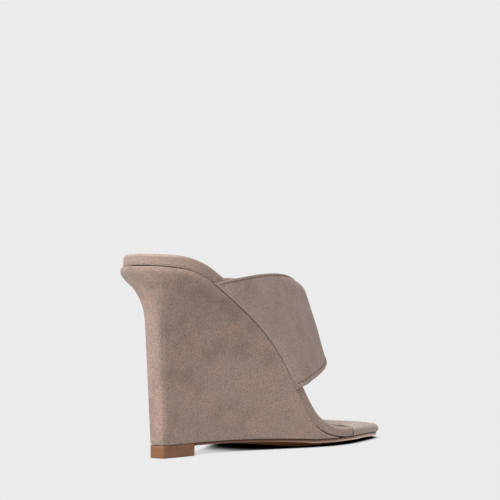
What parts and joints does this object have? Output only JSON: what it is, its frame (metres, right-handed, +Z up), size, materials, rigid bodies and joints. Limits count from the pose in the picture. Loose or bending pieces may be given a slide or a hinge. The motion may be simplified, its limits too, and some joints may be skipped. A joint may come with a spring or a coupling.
{
  "type": "wedge mule",
  "caption": "High wedge mule: suede-covered wedge, padded footbed with a rand, one wide strap over the instep, thin leather outsole and heel tip.",
  "frame": {"origin": "on the floor, under the middle of the shoe's box", "axes": "+X towards the toe, +Y towards the shoe's left (lateral) side, +Z up"},
  "size_m": [0.2134, 0.0798, 0.1157],
  "materials": {
    "wedge_suede": "napped suede, matte",
    "strap_suede": "napped suede, matte",
    "rand_suede": "napped suede, matte",
    "sock_suede": "napped suede, matte",
    "footbed_board": "board, matte",
    "sole_leather": "smooth, waxed edge",
    "tip_leather": "stacked look, satin"
  },
  "bodies": {
    "root": {"heel_tip": "tip_leather", "outsole": "sole_leather", "wedge": "wedge_suede", "footbed": "footbed_board", "rand": "rand_suede", "sock": "sock_suede", "upper_strap": "strap_suede"}
  },
  "joints": []
}
